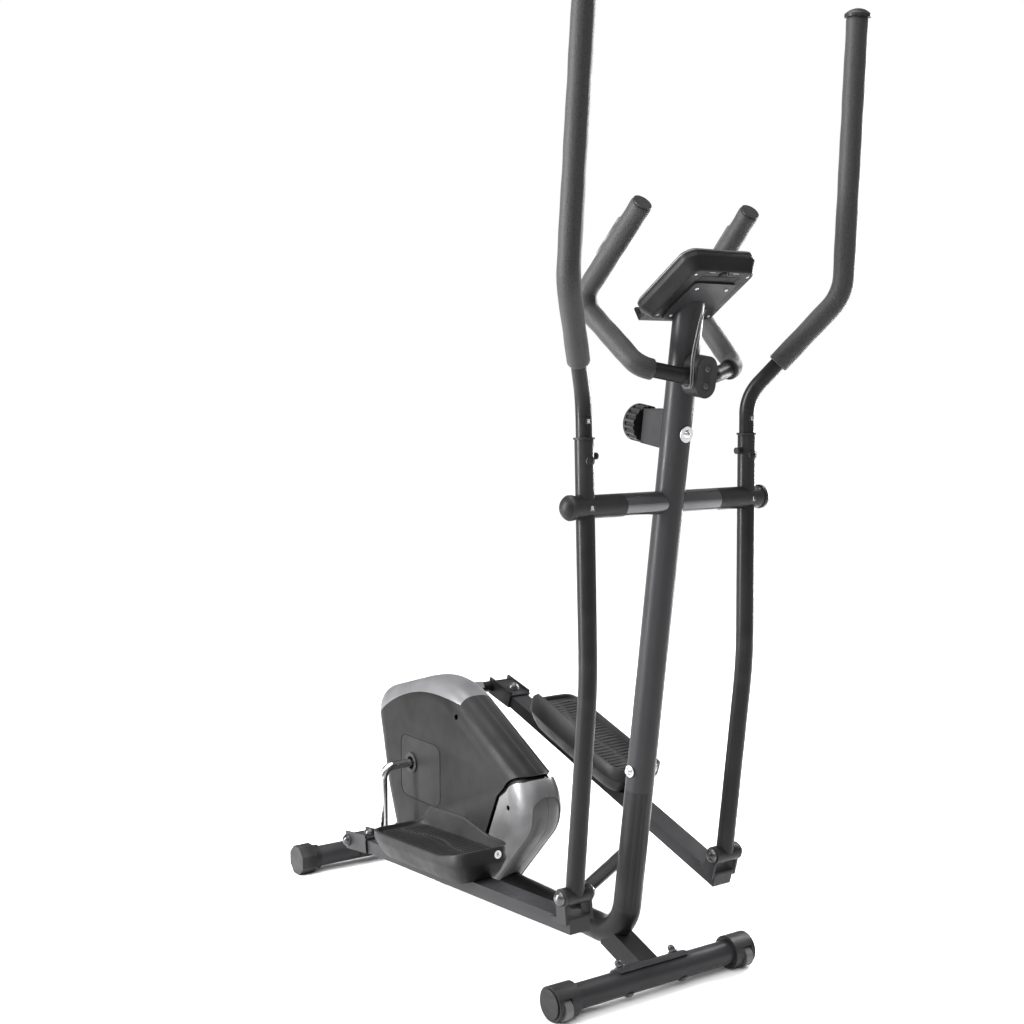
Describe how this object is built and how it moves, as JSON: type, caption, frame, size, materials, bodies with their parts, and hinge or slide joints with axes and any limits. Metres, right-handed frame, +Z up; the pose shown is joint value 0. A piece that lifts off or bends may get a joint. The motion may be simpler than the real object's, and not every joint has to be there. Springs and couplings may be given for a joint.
{
  "type": "elliptical trainer",
  "caption": "Compact elliptical trainer with swinging arms, foot plates on pedal bars, a magnetic flywheel in a rear housing, a leaning mast with console and fixed pulse handlebar.",
  "frame": {"origin": "on the floor, under the middle of the bounding box at rest", "axes": "+X to the user's left, +Y to the rear where the housing is, +Z up; the user faces -Y"},
  "size_m": [0.5904, 1.0971, 1.6072],
  "materials": {
    "black_steel": "satin powder coat",
    "black_plastic": "fine texture",
    "grey_plastic": "satin",
    "wheel_grey": "satin",
    "foam": "fine-grained foam",
    "chrome": "polished",
    "zinc_steel": "zinc plated",
    "iron": "turned",
    "belt_rubber": "ribbed",
    "lens": "clear glossy",
    "lead": "smooth"
  },
  "bodies": {
    "frame": {"main_frame": "black_steel", "front_stabilizer": "black_steel", "front_caps": "black_plastic", "rear_stabilizer": "black_steel", "rear_caps": "black_plastic", "stabilizer_bolts": "zinc_steel", "mast": "black_steel", "mast_bolts": "zinc_steel", "crossbar": "black_steel", "arm_axle": "zinc_steel", "axle_caps": "black_plastic", "housing_right": "black_plastic", "housing_left": "black_plastic", "top_cover": "grey_plastic", "front_cover": "grey_plastic", "bottom_cover": "grey_plastic", "housing_screws": "black_plastic", "crank_rings": "black_plastic", "crank_bearings": "zinc_steel", "knob_bracket": "black_steel", "flywheel_axle": "zinc_steel", "drive_belt": "belt_rubber", "console_rear": "black_plastic", "console_front": "black_plastic", "console_lens": "lens", "console_bracket": "zinc_steel", "device_holder": "black_plastic", "handlebar": "black_steel", "handlebar_grips": "foam", "pulse_sensors": "chrome", "handlebar_plugs": "black_plastic", "clamp_cover": "black_plastic", "pulse_wires": "lead"},
    "transport_wheel_right": {"transport_wheel_right": "wheel_grey"},
    "transport_wheel_left": {"transport_wheel_left": "wheel_grey"},
    "tension_knob": {"tension_knob": "black_plastic"},
    "magnet_bracket": {"magnet_bracket": "zinc_steel"},
    "flywheel": {"flywheel": "iron"},
    "button_left": {"button_left": "grey_plastic"},
    "button_middle": {"button_middle": "grey_plastic"},
    "button_right": {"button_right": "grey_plastic"},
    "crank": {"crank": "chrome", "drive_pulley": "black_plastic", "crank_caps": "black_plastic"},
    "swing_arm_right": {"lower_arm_right": "black_steel", "upper_handle_right": "black_steel", "handle_foam_right": "foam", "arm_fittings_right": "black_plastic"},
    "pedal_right": {"pedal_bar_right": "black_steel", "foot_plate_right": "black_plastic", "rear_bracket_right": "black_steel", "pedal_bolts_right": "black_plastic"},
    "swing_arm_left": {"lower_arm_left": "black_steel", "upper_handle_left": "black_steel", "handle_foam_left": "foam", "arm_fittings_left": "black_plastic"},
    "pedal_left": {"pedal_bar_left": "black_steel", "foot_plate_left": "black_plastic", "rear_bracket_left": "black_steel", "pedal_bolts_left": "black_plastic"}
  },
  "joints": [
    {"name": "right_arm_swing", "type": "hinge", "parent": "frame", "child": "swing_arm_right", "pos_m": [0, -0.3881, 0.822], "axis": [1, 0, 0], "range_deg": [0, 11.99]},
    {"name": "left_arm_swing", "type": "hinge", "parent": "frame", "child": "swing_arm_left", "pos_m": [0, -0.3881, 0.822], "axis": [1, 0, 0], "range_deg": [-14.5, 10.43]},
    {"name": "crank_turn", "type": "hinge", "parent": "frame", "child": "crank", "pos_m": [0, 0.3349, 0.249], "axis": [1, 0, 0], "continuous": true},
    {"name": "flywheel_spin", "type": "hinge", "parent": "frame", "child": "flywheel", "pos_m": [0, 0.1119, 0.208], "axis": [1, 0, 0], "continuous": true},
    {"name": "right_pedal_pivot", "type": "hinge", "parent": "swing_arm_right", "child": "pedal_right", "pos_m": [0, -0.3649, 0.20143], "axis": [1, 0, 0], "range_deg": [-6.33, 26.43]},
    {"name": "left_pedal_pivot", "type": "hinge", "parent": "swing_arm_left", "child": "pedal_left", "pos_m": [0, -0.34683, 0.20237], "axis": [1, 0, 0], "range_deg": [-26.38, 6.38]},
    {"name": "transport_wheel_right_turn", "type": "hinge", "parent": "frame", "child": "transport_wheel_right", "pos_m": [-0.195, -0.3706, 0.0215], "axis": [1, 0, 0], "continuous": true},
    {"name": "transport_wheel_left_turn", "type": "hinge", "parent": "frame", "child": "transport_wheel_left", "pos_m": [0.195, -0.3706, 0.0215], "axis": [1, 0, 0], "continuous": true},
    {"name": "tension_knob_turn", "type": "hinge", "parent": "frame", "child": "tension_knob", "pos_m": [0, -0.40398, 0.935], "axis": [0, 0.9903, 0.1392], "range_deg": [0, 270]},
    {"name": "magnet_bracket_swing", "type": "hinge", "parent": "frame", "child": "magnet_bracket", "pos_m": [0, 0.0736, 0.10275], "axis": [1, 0, 0], "range_deg": [0, 4]},
    {"name": "button_left_press", "type": "slide", "parent": "frame", "child": "button_left", "axis": [0, -0.5446, -0.8387], "range_m": [0, 0.0012], "stiffness_N_per_m": 400, "springref_m": -0.0005},
    {"name": "button_middle_press", "type": "slide", "parent": "frame", "child": "button_middle", "axis": [0, -0.5446, -0.8387], "range_m": [0, 0.0012], "stiffness_N_per_m": 400, "springref_m": -0.0005},
    {"name": "button_right_press", "type": "slide", "parent": "frame", "child": "button_right", "axis": [0, -0.5446, -0.8387], "range_m": [0, 0.0012], "stiffness_N_per_m": 400, "springref_m": -0.0005}
  ],
  "couplings": [
    {"joint": "left_arm_swing", "follows": "right_arm_swing", "ratio": -1.2001},
    {"joint": "crank_turn", "follows": "right_arm_swing", "ratio": 7.5063},
    {"joint": "flywheel_spin", "follows": "right_arm_swing", "ratio": 51.043},
    {"joint": "right_pedal_pivot", "follows": "right_arm_swing", "ratio": -0.22143},
    {"joint": "left_pedal_pivot", "follows": "right_arm_swing", "ratio": 0.22288},
    {"joint": "magnet_bracket_swing", "follows": "tension_knob_turn", "ratio": 0.014815}
  ]
}
